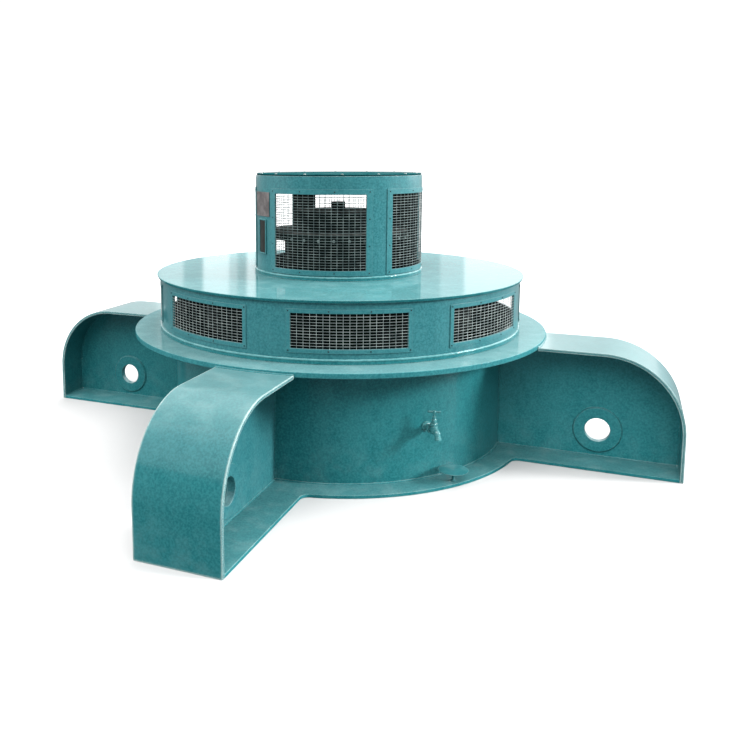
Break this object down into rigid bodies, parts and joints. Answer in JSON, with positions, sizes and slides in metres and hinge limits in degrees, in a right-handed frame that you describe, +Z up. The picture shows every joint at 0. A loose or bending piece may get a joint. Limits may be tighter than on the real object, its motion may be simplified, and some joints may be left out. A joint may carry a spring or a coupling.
{
  "type": "kaplan turbine generator",
  "caption": "Top end of a vertical generator: four curved arms on a base drum, flange, vented housing, cover plate and hood with mesh windows, and a drain cock.",
  "frame": {"origin": "on the floor under the machine's vertical axis", "axes": "+Z up along the machine's axis; -Y towards the viewer; the near right arm points 19.3 degrees from +X towards -Y"},
  "size_m": [3.4232, 3.4232, 1.4038],
  "materials": {
    "teal_paint": "glossy teal enamel over welded steel",
    "screen_paint": "teal enamel on strip frames with wire mesh",
    "inner_iron": "dark, dusty",
    "plate_metal": "dull, blank",
    "dark_glass": "dark",
    "painted_fitting": "teal enamel over brass"
  },
  "bodies": {
    "machine": {"foot_plate": "teal_paint", "base_drum": "teal_paint", "main_flange": "teal_paint", "arm_plate_1": "teal_paint", "arm_web_1": "teal_paint", "web_eye_1": "teal_paint", "arm_plate_2": "teal_paint", "arm_web_2": "teal_paint", "web_eye_2": "teal_paint", "arm_plate_3": "teal_paint", "arm_web_3": "teal_paint", "web_eye_3": "teal_paint", "arm_plate_4": "teal_paint", "arm_web_4": "teal_paint", "web_eye_4": "teal_paint", "vent_ring": "teal_paint", "vent_screen_1": "screen_paint", "vent_screen_2": "screen_paint", "vent_screen_3": "screen_paint", "vent_screen_4": "screen_paint", "vent_screen_5": "screen_paint", "vent_screen_6": "screen_paint", "vent_screen_7": "screen_paint", "vent_screen_8": "screen_paint", "cover_plate": "teal_paint", "hood": "teal_paint", "hood_screen_1": "screen_paint", "hood_screen_2": "screen_paint", "hood_screen_3": "screen_paint", "hood_screen_4": "screen_paint", "hood_lid": "teal_paint", "data_plate": "plate_metal", "sight_frame": "teal_paint", "sight_glass": "dark_glass", "bearing_pot": "inner_iron", "exciter": "inner_iron", "drain_cock": "painted_fitting", "ledge_cap": "painted_fitting"},
    "cock_handle": {"cock_handle": "painted_fitting"}
  },
  "joints": [
    {"name": "cock_handle_turn", "type": "hinge", "parent": "machine", "child": "cock_handle", "pos_m": [0.43728, -0.84, 0.33], "axis": [0, 0, 1], "range_deg": [-90, 180]}
  ]
}
